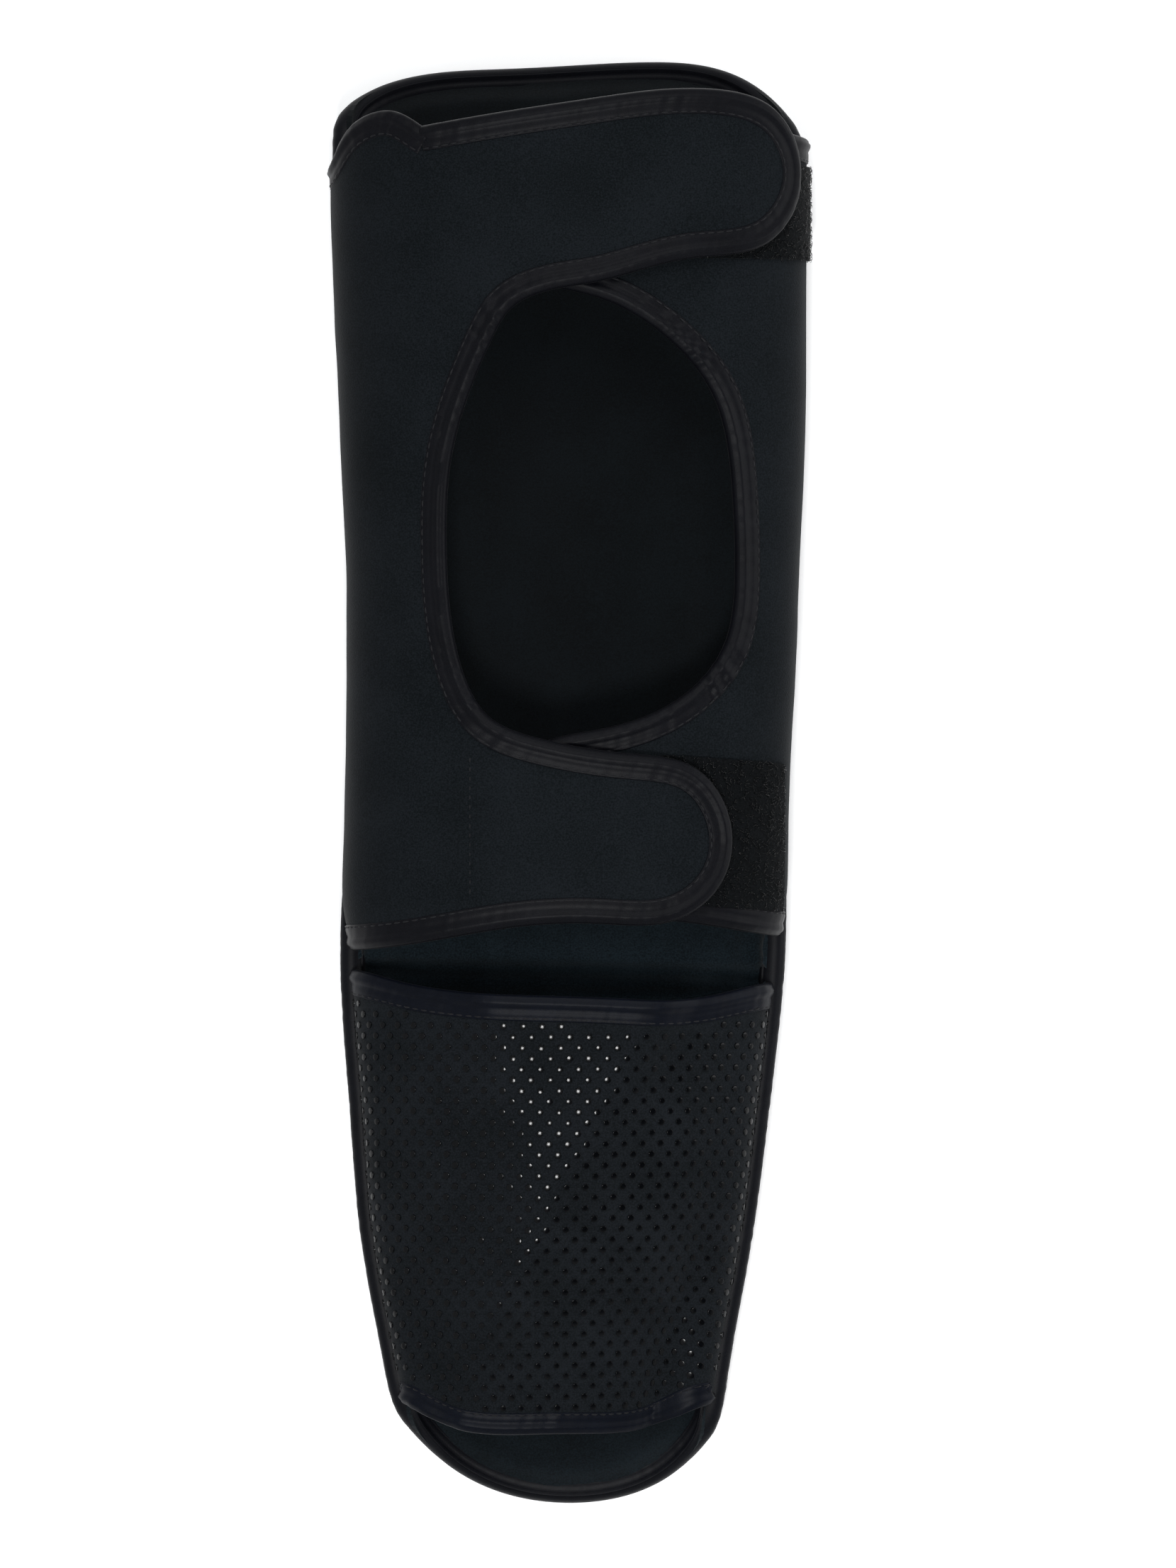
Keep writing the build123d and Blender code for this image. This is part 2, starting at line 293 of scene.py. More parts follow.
def wing_surface(height):
    """The closed wings' surface, height over the inner face of the right wing."""
    left, right, rim_height, crown, _, _ = section_fields(Surface.Y)
    tuck = ANKLE_TUCK * bell(Surface.Y - TUCK_Y, TUCK_REACH)
    edge_left = left + LEFT_OUTER - height + tuck
    edge_right = right - RIGHT_OUTER + height - tuck
    base = rim_height + SEAM_GAP - SEWN_IN
    return Surface(edge_left, edge_right, base, crown + height + SEWN_IN, TOP_POWER)


def sole_surface():
    """The outer face of the sole band."""
    left, right, rim_height, crown, _, _ = section_fields(Surface.Y)
    base = rim_height + SEAM_GAP - SEWN_IN
    height = crown + SOLE_CLOTH + SEWN_IN
    return Surface(left + SOLE_IN, right - SOLE_IN, base, height, TOP_POWER)


def pad_surface(share):
    """A surface in the pad: share 0 is its front and 1 its leg side."""
    left, right, rim_height, _, thick, belly = section_fields(Surface.Y)
    inset = TAPE + RIM * share
    depth = rim_height - belly - thick * share
    return Surface(left + inset, right - inset, rim_height, -depth, PAD_POWER)


# ---- lines and outlines
def smooth_line(points, step):
    """Points about a step apart on a natural cubic spline through the points."""
    p = np.array(points, float)
    d = np.linalg.norm(np.diff(p, axis=0), axis=1)
    s = np.concatenate([[0], np.cumsum(d)])
    n = len(p)
    a = np.eye(n)
    b = np.zeros_like(p)
    for i in range(1, n - 1):
        a[i, i - 1 : i + 2] = d[i - 1], 2 * (d[i - 1] + d[i]), d[i]
        b[i] = 6 * ((p[i + 1] - p[i]) / d[i] - (p[i] - p[i - 1]) / d[i - 1])
    bend = np.linalg.solve(a, b)
    at = np.linspace(0, s[-1], max(2, round(s[-1] / step)) + 1)
    k = np.clip(np.searchsorted(s, at, side="right") - 1, 0, n - 2)
    h = d[k][:, None]
    u = ((s[k + 1] - at) / d[k])[:, None]
    v = 1 - u
    curve = (u**3 - u) * bend[k] + (v**3 - v) * bend[k + 1]
    return u * p[k] + v * p[k + 1] + curve * h**2 / 6


def distances(line):
    """How far along a line each of its points is."""
    return np.concatenate([[0], np.cumsum(np.linalg.norm(np.diff(line, axis=0), axis=1))])


def spaced(line, step):
    """The same line with points an even step apart."""
    s = distances(line)
    at = np.linspace(0, s[-1], max(2, round(s[-1] / step)) + 1)
    return np.stack([np.interp(at, s, line[:, i]) for i in range(line.shape[1])], axis=-1)


def straight(a, b, step):
    """A straight line of points from a to b."""
    return spaced(np.array([a, b], float), step)


def inward(line):
    """Unit vectors to the right of a line's direction, so into a clockwise outline."""
    along = unit(np.gradient(line, axis=0))
    return np.stack([along[:, 1], -along[:, 0]], axis=-1)


def outline_on(surface, stretches, step, inset=0.0):
    """A closed (w, y) outline of smooth stretches, stopped at the layer's two sides."""
    lines = []
    for i, points in enumerate(stretches):
        line = spaced(surface.unroll(smooth_line(points, 1.0)), step)
        line = line + inward(line) * inset
        lines.append(line)
        start = surface.unroll([stretches[(i + 1) % len(stretches)][0]])[0]
        if np.linalg.norm(start - line[-1]) > 3 * step:
            lines.append(straight(line[-1], start, step)[1:-1])
    loop = held_on(surface, np.concatenate(lines))
    closest = 0.6 * step
    kept = [loop[0]]
    for point in loop[1:]:
        if np.linalg.norm(point - kept[-1]) > closest:
            kept.append(point)
    if np.linalg.norm(kept[0] - kept[-1]) < closest:
        kept.pop()
    return np.array(kept)


def held_on(surface, points):
    """(w, y) points, moved in to the layer's sides where they are past them."""
    end = surface.end(points[:, 1])
    return np.stack([np.clip(points[:, 0], -end, end), points[:, 1]], axis=-1)


def rectangle_on(surface, corners, step=SHEET_STEP):
    """A closed (w, y) outline through corners given as (x, y) from above."""
    points = held_on(surface, surface.unroll(corners))
    sides = [straight(a, b, step)[:-1] for a, b in zip(points, np.roll(points, -1, axis=0))]
    return np.concatenate(sides)


def rounded(loop, step, reach, inset=0.0):
    """A closed outline with its corners eased over a reach, points a step apart."""
    loop = spaced(np.concatenate([loop, loop[:1]]), 1.0)[:-1]
    half = round(reach / 2)
    kernel = np.ones(2 * half + 1) / (2 * half + 1)
    for _ in range(2):
        wrapped = np.concatenate([loop[-half:], loop, loop[:half]])
        eased = [np.convolve(wrapped[:, i], kernel, mode="valid") for i in range(2)]
        loop = np.stack(eased, axis=-1)
    wrapped = np.concatenate([loop, loop[:1]])
    return spaced(wrapped + inward(wrapped) * inset, step)[:-1]


def free_edge(surface, points, step=EDGE_STEP):
    """A smooth stretch as a (w, y) line, only where it is on the layer."""
    line = spaced(surface.unroll(smooth_line(points, 1.0)), step)
    return line[np.abs(line[:, 0]) < surface.end(line[:, 1]) - 0.5]


def inside_outline(points, loop):
    """Which points are inside a closed outline."""
    x, y = points[:, 0], points[:, 1]
    result = np.zeros(len(points), bool)
    for (x0, y0), (x1, y1) in zip(loop, np.roll(loop, -1, axis=0)):
        if y0 == y1:
            continue
        crosses = (y0 > y) != (y1 > y)
        result ^= crosses & (x < (x1 - x0) * (y - y0) / (y1 - y0) + x0)
    return result


def gap_to(points, line):
    """Distance from each point to the nearest point of a line."""
    best = np.full(len(points), 1e9)
    for start in range(0, len(line), 64):
        part = line[start : start + 64]
        d = np.linalg.norm(points[:, None, :] - part[None, :, :], axis=-1).min(axis=1)
        best = np.minimum(best, d)
    return best


def ripple(w, y, size, seed):
    """Smooth noise from -1 to 1 with features of a size, in millimetres."""
    flat = zip(np.ravel(w), np.ravel(y))
    values = [noise.noise(Vector((a / size, b / size, seed))) for a, b in flat]
    return np.array(values).reshape(np.shape(w))


# ---- meshes
def placed(name, data, place=(0, 0, 0)):
    """A new object in the scene, at a place in metres."""
    obj = bpy.data.objects.new(name, data)
    obj.location = place
    bpy.context.scene.collection.objects.link(obj)
    return obj


class Shape:
    """Points in millimetres, faces and perhaps each point's normal, before they become an object."""

    def __init__(self, points, faces, normals=None):
        self.points = np.asarray(points, float)
        self.faces = [tuple(f) for f in faces]
        self.normals = normals

    def trimmed(self):
        """The same faces, without the points that none of them uses."""
        used = sorted({i for f in self.faces for i in f})
        new = {old: i for i, old in enumerate(used)}
        normals = None if self.normals is None else self.normals[used]
        return Shape(self.points[used], [tuple(new[i] for i in f) for f in self.faces], normals)

    def part(self, keep):
        """The faces whose middles keep(x, y, z) holds for."""
        faces = [f for f in self.faces if keep(*self.points[list(f)].mean(axis=0))]
        return Shape(self.points, faces, self.normals).trimmed()

    def make(self, name, material):
        """A smooth object. A closed sheet's four-sided walls stay flat, so its faces meet crisply."""
        mesh = bpy.data.meshes.new(name)
        mesh.from_pydata((self.points / 1000).tolist(), [], self.faces)
        mesh.update()
        sheet = len(self.faces[0]) == 3
        mesh.polygons.foreach_set("use_smooth", [not sheet or len(f) == 3 for f in self.faces])
        if self.normals is not None:
            own = (0.0, 0.0, 0.0)
            corners = [tuple(self.normals[i]) if len(f) == 3 else own for f in self.faces for i in f]
            mesh.normals_split_custom_set(corners)
        mesh.materials.append(material)
        return placed(name, mesh)


def joined(shapes):
    """Many shapes as one."""
    starts = np.cumsum([0] + [len(shape.points) for shape in shapes]).tolist()
    faces = [tuple(i + start for i in f) for shape, start in zip(shapes, starts) for f in shape.faces]
    return Shape(np.concatenate([shape.points for shape in shapes]), faces)


def filled(loop, step, lines=()):
    """A flat triangle mesh inside a (w, y) outline, with points along some lines in it."""
    low = loop.min(axis=0)
    high = loop.max(axis=0)
    grid = []
    for row, y in enumerate(np.arange(low[1], high[1], step * 0.87)):
        shift = (row % 2) * step / 2
        grid += [(w, y) for w in np.arange(low[0] + shift, high[0], step)]
    grid = np.array(grid)
    grid = grid[inside_outline(grid, loop)]
    grid = grid[gap_to(grid, loop) > step * 0.6]
    along = [spaced(line, step) for line in lines]
    if along:
        along = np.concatenate(along)
        along = along[inside_outline(along, loop)]
        along = along[gap_to(along, loop) > step * 0.4]
        grid = np.concatenate([grid[gap_to(grid, along) > step * 0.7], along])
    points = np.concatenate([loop, grid])
    ring = list(range(len(loop)))
    result = geometry.delaunay_2d_cdt([Vector(p) for p in points], [], [ring], 1, 1e-6)
    flat = np.array([tuple(v) for v in result[0]])
    faces = []
    for f in result[2]:
        a, b, c = (flat[i] for i in f[:3])
        area = (b[0] - a[0]) * (c[1] - a[1]) - (b[1] - a[1]) * (c[0] - a[0])
        faces.append(tuple(f) if area > 0 else tuple(f[::-1]))
    return flat, faces


def closed(faces, top, bottom):
    """A closed form between two sets of points that both fit one flat mesh."""
    count = len(top)
    under = [tuple(i + count for i in f[::-1]) for f in faces]
    edges = {(a, b) for f in faces for a, b in zip(f, f[1:] + f[:1])}
    walls = [(b, a, a + count, b + count) for a, b in edges if (b, a) not in edges]
    return Shape(np.concatenate([top, bottom]), faces + under + sorted(walls))


def point_normals(shape):
    """Each point's normal over the three-sided faces of a whole sheet, so that cuts don't show."""
    faces = np.array([f for f in shape.faces if len(f) == 3])
    a, b, c = (shape.points[faces[:, k]] for k in range(3))
    area = np.cross(b - a, c - a)
    normals = np.zeros_like(shape.points)
    for k in range(3):
        np.add.at(normals, faces[:, k], area)
    return normals / np.maximum(np.linalg.norm(normals, axis=1, keepdims=True), 1e-12)


def slab(surface, loop, low, high, step=SHEET_STEP, relief=None, keep=None, lines=()):
    """A soft closed sheet inside a (w, y) outline, between two heights off the surface."""
    flat, faces = filled(loop, step, lines)
    w, y = flat[:, 0], flat[:, 1]
    lift = relief(w, y) if relief else np.zeros(len(flat))
    top = surface.at(w, y, high + lift)
    bottom = surface.at(w, y, low + lift)
    whole = closed(faces, top, bottom)
    if keep:
        faces = [f for f in faces if keep(*top[list(f)].mean(axis=0))]
    cut = closed(faces, top, bottom)
    cut.normals = point_normals(whole)
    return cut.trimmed()


def folded_tape(width, low, high):
    """A tape's section round an edge: (distance in from the edge, height) from under to over."""
    under = low - TAPE
    over = high + TAPE
    middle = (under + over) / 2
    half = (over - under) / 2
    section = [(width, low + 0.1), (width * 0.93, under), (width * 0.6, under - 0.1)]
    for i in range(9):
        turn = math.radians(-90 + 22.5 * i)
        section.append((half * 0.75 * (1 - math.cos(turn)) - 0.2, middle + half * math.sin(turn)))
    section += [(width * share, over + rise) for share, rise in TAPE_ROLL]
    section.append((width * 1.02, high - 0.1))
    return section


def tape_on(surface, line, section, seed, relief=None, pucker=0.13, tight=()):
    """A tape folded over a free edge, puckered along it; tight lists places' (x, y, reach)."""
    side = inward(line)
    s = distances(line)
    place = surface.place(line[:, 0], line[:, 1])
    strength = np.full(len(line), pucker)
    for x, y, reach in tight:
        strength += 0.60 * bell(np.hypot(place[:, 0] - x, place[:, 1] - y), reach)
    slow = 0.12 * ripple(s, np.zeros(len(s)), SLOW_PUCKER, seed + 5.0)
    rings = []
    for k, (a, h) in enumerate(section):
        w = line[:, 0] + side[:, 0] * a
        y = line[:, 1] + side[:, 1] * a
        wave = ripple(s + 0.35 * a, np.full(len(s), 0.08 * a), FINE_PUCKER, seed)
        outer = 0 < k < len(section) - 1
        lift = relief(w, y) if relief else 0.0
        bump = (strength * 1.6 * wave + slow) if outer else 0.0
        rings.append(surface.at(w, y, h + lift + bump))
    return tube_of(np.array(rings))


def tube_of(rings, caps=True):
    """A Shape from rings[k][i]: k round the section and i along the line."""
    around, along = rings.shape[:2]
    points = rings.transpose(1, 0, 2).reshape(-1, 3)
    faces = []
    for i in range(along - 1):
        for k in range(around):
            a, b = i * around + k, i * around + (k + 1) % around
            faces.append((a, b, b + around, a + around))
    if caps:
        faces.append(tuple(range(around))[::-1])
        faces.append(tuple((along - 1) * around + k for k in range(around)))
    return Shape(points, faces)


def rod(centre, side, up, sides):
    """A bent rod along some points, open at its ends; side and up span its section."""
    turns = [math.tau * k / sides for k in range(sides)]
    rings = [centre + side * math.cos(turn) + up * math.sin(turn) for turn in turns]
    return tube_of(np.array(rings), caps=False)


def stitches(surface, line, height, relief, length=2.3, gap=0.9, thick=0.24):
    """A row of sewn stitches along a (w, y) line, each a small bent rod half sunk."""
    s = distances(line)
    rods = []
    for start in np.arange(0, s[-1] - length, length + gap):
        at = np.linspace(start, start + length, len(STITCH_BEND))
        w = np.interp(at, s, line[:, 0])
        y = np.interp(at, s, line[:, 1])
        centre = surface.at(w, y, height + STITCH_BEND + relief(w, y))
        up = surface.normal(w, y)
        side = np.cross(unit(np.gradient(centre, axis=0)), up)
        rods.append(rod(centre, side * STITCH_WIDE * thick, up * thick, 6))
    return joined(rods)


def tape_stitches(surface, line, width, relief, sunk=STITCH_SUNK):
    """The stitches that hold a tape, near its inner edge."""
    sewn = line + inward(line) * width * STITCH_SHARE
    return stitches(surface, sewn, TAPE - sunk, relief)


# ---- materials
SPECK_SHARE = 0.68  # how much of a cloth's unevenness is fine specks
# painted light and shade along the lining: lighter at the ankle and toe against their shade, darker along the
# shin
PAINTED_LINING_LIGHT = [(-215, 1.15), (-150, 1.7), (-72, 2.6), (-52, 2.0), (5, 0.54), (235, 0.55)]  # y, shade


def node(tree, kind, *inputs, **values):
    """A new node; inputs fill its first sockets, and values fill sockets or properties by name."""
    made = tree.nodes.new(kind)
    filling = list(zip(made.inputs, inputs))
    for key, value in values.items():
        if key in made.inputs:
            filling.append((made.inputs[key], value))
        else:
            setattr(made, key, value)
    for socket, value in filling:
        if isinstance(value, bpy.types.NodeSocket):
            tree.links.new(value, socket)
        else:
            socket.default_value = value
    return made


def ramp(tree, value, stops):
    """The colour output of a ramp through (position, colour) stops, colours in thousandths."""
    made = node(tree, "ShaderNodeValToRGB", value)
    elements = made.color_ramp.elements
    while len(elements) < len(stops):
        elements.new(0.5)
    for element, (position, colour) in zip(elements, stops):
        element.position = position
        element.color = (*(part / 1000 for part in colour), 1)
    return made.outputs["Color"]


class Look:
    """A material with fixed shader values. Colours are in thousandths and sizes in millimetres."""

    def __init__(self, name, roughness, specular, sheen=0.0, sheen_roughness=0.5, stretch=1.0):
        self.material = bpy.data.materials.new(name)
        self.material.use_nodes = True
        self.tree = self.material.node_tree
        self.inputs = self.tree.nodes["Principled BSDF"].inputs
        self.inputs["Roughness"].default_value = roughness
        self.inputs["Specular IOR Level"].default_value = specular
        self.inputs["Sheen Weight"].default_value = sheen
        self.inputs["Sheen Roughness"].default_value = sheen_roughness
        own = node(self.tree, "ShaderNodeTexCoord").outputs["Object"]
        scaled = node(self.tree, "ShaderNodeMapping", own, Scale=(1000, 1000, 1000 * stretch))
        self.at = scaled.outputs["Vector"]

    def math(self, operation, *inputs):
        """The value that an operation gives."""
        return node(self.tree, "ShaderNodeMath", *inputs, operation=operation).outputs[0]

    def mottled(self, dark, light, size, speck=0.55):
        """Colour that drifts over a size, with fine specks on it."""
        drift = node(self.tree, "ShaderNodeTexNoise", self.at, Scale=1 / size, Detail=3.0)
        fine = node(self.tree, "ShaderNodeTexNoise", self.at, Scale=1 / speck, Detail=2.0)
        less = self.math("MULTIPLY", drift.outputs["Fac"], 1 - SPECK_SHARE)
        both = self.math("MULTIPLY_ADD", fine.outputs["Fac"], SPECK_SHARE, less)
        colour = ramp(self.tree, both, [(0.38, dark), (0.62, light)])
        self.tree.links.new(colour, self.inputs["Base Color"])

    def painted_light_along(self, stops):
        """Painted light and shade along the part: the colour is scaled by a factor that changes with y; stops
        are (y, factor).
        """
        most = max(factor for _, factor in stops)
        y = node(self.tree, "ShaderNodeSeparateXYZ", self.at).outputs["Y"]
        along = node(self.tree, "ShaderNodeMapRange", y, -HALF_LENGTH, HALF_LENGTH).outputs["Result"]
        shades = [((y + HALF_LENGTH) / (2 * HALF_LENGTH), (1000 * factor / most,) * 3) for y, factor in stops]
        factor = self.math("MULTIPLY", ramp(self.tree, along, shades), most)
        colour = self.inputs["Base Color"].links[0].from_socket
        painted_colour = node(self.tree, "ShaderNodeVectorMath", colour, operation="SCALE", Scale=factor)
        self.tree.links.new(painted_colour.outputs["Vector"], self.inputs["Base Color"])

    def bumped(self, cell, depth, strength, kind="ShaderNodeTexVoronoi"):
        """Small relief with cells of a size."""
        cells = node(self.tree, kind, Vector=self.at, Scale=1 / cell)
        height = cells.outputs["Distance" if kind == "ShaderNodeTexVoronoi" else "Fac"]
        depths = {"Strength": strength, "Distance": depth / 1000, "Height": height}
        bump = node(self.tree, "ShaderNodeBump", **depths)
        self.tree.links.new(bump.outputs["Normal"], self.inputs["Normal"])


def jersey():
    """Knitted jersey bonded to neoprene."""
    look = Look("jersey", 0.85, 0.06, 0.03, 0.45)
    look.mottled((1.3, 2.3, 3), (5, 6.6, 8.4), 30.0)
    look.bumped(0.62, 0.12, 0.45)
    return look.material


def brushed_lining():
    """The brushed knit on the leg side of the pad."""
    look = Look("brushed_lining", 0.95, 0.08, 0.05, 0.6)
    look.mottled((0.9, 2, 2.8), (3.4, 6, 8), 22.0)
    # painted light and shade: the lining is lighter at the ankle and toe and darker along the shin
    look.painted_light_along(PAINTED_LINING_LIGHT)
    look.bumped(0.8, 0.16, 0.5, "ShaderNodeTexNoise")
    return look.material


def satin_tape(name, dark, light):
    """Satin bias tape."""
    look = Look(name, 0.46, 0.07, 0.015, 0.35, 0.4)
    look.mottled(dark, light, 9.0, 0.4)
    look.bumped(0.42, 0.05, 0.35)
    return look.material


def thread():
    """Sewing thread, a little lighter than the tape."""
    look = Look("thread", 0.6, 0.12, 0.02, 0.4)
    look.mottled((4.5, 4.7, 5.6), (8.5, 8.6, 10.4), 5.0, 0.3)
    return look.material


def loop_pile():
    """The ground of a loop patch, between its loops."""
    look = Look("loop_pile", 0.85, 0.06, 0.02, 0.4)
    look.mottled((0.6, 0.9, 1.2), (2.2, 2.8, 3.4), 4.0, 0.7)
    look.bumped(0.7, 0.5, 0.9, "ShaderNodeTexNoise")
    return look.material


def nylon_loops():
    """The shiny thread of a loop patch's loops."""
    look = Look("nylon_loops", 0.13, 0.26)
    look.mottled((0.6, 0.8, 1), (1.6, 1.9, 2.3), 3.0, 0.3)
    return look.material


def hook_plastic():
    """A field of small plastic hooks."""
    look = Look("hook_plastic", 0.4, 0.4)
    look.mottled((4, 4, 5), (10, 10, 11), 6.0, 0.5)
    look.bumped(0.9, 0.5, 0.8)
    return look.material


def grip_cloth():
    """The knit between the grip dots."""
    look = Look("grip_cloth", 0.85, 0.06, 0.03, 0.45)
    look.mottled((2, 2.9, 3.6), (6.2, 7.6, 9.6), 20.0)
    look.bumped(0.7, 0.12, 0.5)
    return look.material


def grip_vinyl():
    """Glossy vinyl of the grip dots, with the slight skin of a printed blob."""
    look = Look("grip_vinyl", 0.14, 0.13)
    look.mottled((0.6, 0.8, 1), (1.4, 1.6, 2.2), 4.0, 0.5)
    look.bumped(1.6, 0.04, 0.25, "ShaderNodeTexNoise")
    return look.material


def grained_leather():
    """Synthetic leather of the front."""
    look = Look("grained_leather", 0.45, 0.30)
    look.mottled((7, 7.2, 7.6), (12, 12.5, 13), 25.0, 0.9)
    look.bumped(1.3, 0.18, 0.55)
    return look.material


JERSEY = jersey()
LINING_CLOTH = brushed_lining()
BLACK_TAPE = satin_tape("satin_tape", (1.1, 1.2, 2.1), (2.4, 2.6, 4))
# the rim's tape: the satin tape's colours made about half as light again, painted light against the shade
# along the rim
RIM_TAPE_PAINTED_LIGHT = satin_tape("rim_satin_painted_light", (1.7, 1.9, 2.9), (3.6, 3.9, 5.6))
NAVY_TAPE = satin_tape("navy_tape", (0.7, 1.2, 3), (1.5, 2.4, 5.4))
THREAD = thread()
LOOP_PILE = loop_pile()
NYLON = nylon_loops()
HOOK_PLASTIC = hook_plastic()
GRIP_CLOTH = grip_cloth()
GRIP_VINYL = grip_vinyl()
LEATHER = grained_leather()


def on_ankle(obj):
    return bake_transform(obj)


def on_left_seam(obj):
    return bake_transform(obj)


def on_right_seam(obj):
    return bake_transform(obj)


def on_upper_fold(obj):
    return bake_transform(obj)


def on_lower_fold(obj):
    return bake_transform(obj)


LEFT_PARTS = {
    "left_wing": (lambda x, y, z: x <= STRAP_CUT_X, on_left_seam),
    "upper_strap": (lambda x, y, z: x > STRAP_CUT_X and y > SPLIT_Y, on_upper_fold),
    "lower_strap": (lambda x, y, z: x > STRAP_CUT_X and y <= SPLIT_Y, on_lower_fold),
}
LEFT_TAPES = ["left_wing_knee_binding", "left_wing_calf_binding", "left_wing_ankle_binding"]


# ---- the wings and straps
def wing_relief(seed, calm=1.0):
    """Soft unevenness of a neoprene panel."""

    def relief(w, y):
        return calm * (0.55 * ripple(w, y, 48.0, seed) + 0.13 * ripple(w, y, 13.0, seed + 3.0))

    return relief


def clipped_area(loop, low_w, high_w, low_y, high_y):
    """The area of an outline between limits, counted in square metres, and its width and length."""
    ws, ys = np.meshgrid(np.arange(low_w, high_w), np.arange(low_y, high_y), indexing="ij")
    grid = np.stack([ws.ravel(), ys.ravel()], axis=-1)
    inside = grid[inside_outline(grid, loop)]
    return len(inside) / 1e6, (inside.max(axis=0) - inside.min(axis=0)) / 1000


def left_side():
    """The left wing and the two straps, drawn as one panel and then parted at the folds."""
    surface = wing_surface(LEFT_OUTER)
    swell = wing_relief(2.0)
    crease_w = surface.unroll([(CREASE_X, 180.0)])[0][0]
    patch_w = surface.unroll([(PATCH_SEAM_X, -15.0)])[0][0]

    def relief(w, y):
        crease = -0.30 * bell(w - crease_w, 1.6) * rising(y, 150.0, 6.0)
        sewn = -0.35 * bell(w - patch_w, 1.1) * rising(y, -38.0, 1.5) * rising(-y, -8.0, 1.5)
        return swell(w, y) + crease + sewn

    loop = outline_on(surface, [LEFT_LOBE, LEFT_STRAPS], SHEET_STEP, TAPE)
    folds = [surface.unroll([(STRAP_CUT_X, y) for y in np.arange(-60.0, 231.0, 2.0)])]
    folds.append(surface.unroll([(-50.0, SPLIT_Y), (80.0, SPLIT_Y)]))
    section = folded_tape(TAPE_WIDTH, -NEOPRENE, 0.0)
    straps = free_edge(surface, LEFT_STRAPS)
    lobe = free_edge(surface, LEFT_LOBE)
    tucked = lobe[-1] + np.linspace(0.9, 4.5, 5)[:, None] * np.array([0.85, -0.53])
    lobe = np.concatenate([lobe, tucked])
    lobe_section = [(a, h - 0.25 if h > 0 else h) for a, h in section]
    tight = [(-25, 154, 13), (-35, 25, 12)]
    tape = joined([
        tape_on(surface, straps, section, 11.0, relief, tight=tight),
        tape_on(surface, lobe, lobe_section, 17.0, relief, 0.15),
    ])
    patch = spaced(surface.unroll([(PATCH_SEAM_X, 8.5), (PATCH_SEAM_X, -37.0)]), 1.0)
    seam = joined([
        tape_stitches(surface, straps, TAPE_WIDTH, relief),
        tape_stitches(surface, lobe, TAPE_WIDTH, relief, 0.5),
        stitches(surface, patch, 0.0, relief, 2.0, 1.1, 0.2),
    ])
    fold = surface.unroll([(STRAP_CUT_X, 80.0)])[0][0]
    limits = {
        "left_wing": (-140, fold, -70, 240),
        "upper_strap": (fold, 140, SPLIT_Y, 240),
        "lower_strap": (fold, 140, -70, SPLIT_Y),
    }
    for body, (keep, bend) in LEFT_PARTS.items():
        cloth = slab(surface, loop, -NEOPRENE, 0.0, SHEET_STEP, relief, keep, folds)
        cloth = cloth.make(f"{body}_cloth", JERSEY)
        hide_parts(f"{body}_panel")
        bend(cloth)
        area, size = clipped_area(loop, *limits[body])
        edge = tape.part(keep).make(f"{body}_tape", BLACK_TAPE)
        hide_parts(*(LEFT_TAPES if body == "left_wing" else [f"{body}_binding"]))
        bend(edge)
        sewing = seam.part(keep).make(f"{body}_stitches", THREAD)
        bend(sewing)
    return surface


def pile(surface, loop, count, seed):
    """Nylon loops that stand on a loop patch."""
    dice = np.random.default_rng(seed)
    low = loop.min(axis=0)
    high = loop.max(axis=0)
    roots = low + (high - low) * dice.random((count, 2))
    roots = roots[inside_outline(roots, loop)]
    arch = np.linspace(0, math.pi, 6)
    rods = []
    for w, y in roots:
        turn = dice.random() * math.tau
        span = 0.5 + 0.5 * dice.random()
        rise = 0.35 + 0.45 * dice.random()
        thick = 0.07 + 0.04 * dice.random()
        ws = w + np.cos(turn) * span * np.cos(arch)
        ys = y + np.sin(turn) * span * np.cos(arch)
        centre = surface.at(ws, ys, LOOP + rise * np.sin(arch) - LOOP_ROOT)
        along = np.gradient(centre, axis=0)
        side = unit(np.cross(along, surface.normal(ws, ys)))
        across = unit(np.cross(side, along))
        rods.append(rod(centre, side * thick, across * thick, 3))
    return joined(rods)


def right_side(upper):
    """The right wing with its loop patches, and the hook patches over them."""
    surface = wing_surface(RIGHT_OUTER)
    relief = wing_relief(7.0, 0.8)
    loop = outline_on(surface, [RIGHT_EDGE], SHEET_STEP, TAPE)
    cloth = slab(surface, loop, -NEOPRENE, 0.0, SHEET_STEP, relief).make("right_wing_cloth", JERSEY)
    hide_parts("right_wing_panel")
    on_right_seam(cloth)
    line = free_edge(surface, RIGHT_EDGE)
    section = folded_tape(TAPE_WIDTH, -NEOPRENE, 0.0)
    edge = tape_on(surface, line, section, 23.0, relief, tight=[(40, 147, 16), (45, 37, 12)])
    edge = edge.make("right_wing_tape", BLACK_TAPE)
    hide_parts("right_wing_binding")
    on_right_seam(edge)
    sewing = tape_stitches(surface, line, TAPE_WIDTH, relief).make("right_wing_stitches", THREAD)
    on_right_seam(sewing)
    for name, corners, count in (("upper", UPPER_LOOP, 1300), ("lower", LOWER_LOOP, 1600)):
        ring = rectangle_on(surface, corners)
        ground = slab(surface, ring, 0.02, LOOP, 1.6, relief).make(f"{name}_loop_ground", LOOP_PILE)
        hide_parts(f"{name}_loop_patch")
        on_right_seam(ground)
        standing = pile(surface, ring, count, len(name) + count).make(f"{name}_loop_pile", NYLON)
        on_right_seam(standing)
    for name, corners in (("upper", UPPER_HOOK), ("lower", LOWER_HOOK)):
        ring = rectangle_on(upper, corners)
        hooks = slab(upper, ring, -NEOPRENE - HOOK, -NEOPRENE - 0.05)
        hooks = hooks.make(f"{name}_hook_field", HOOK_PLASTIC)
        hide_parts(f"{name}_hook_patch")
        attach(hooks, f"{name}_strap")


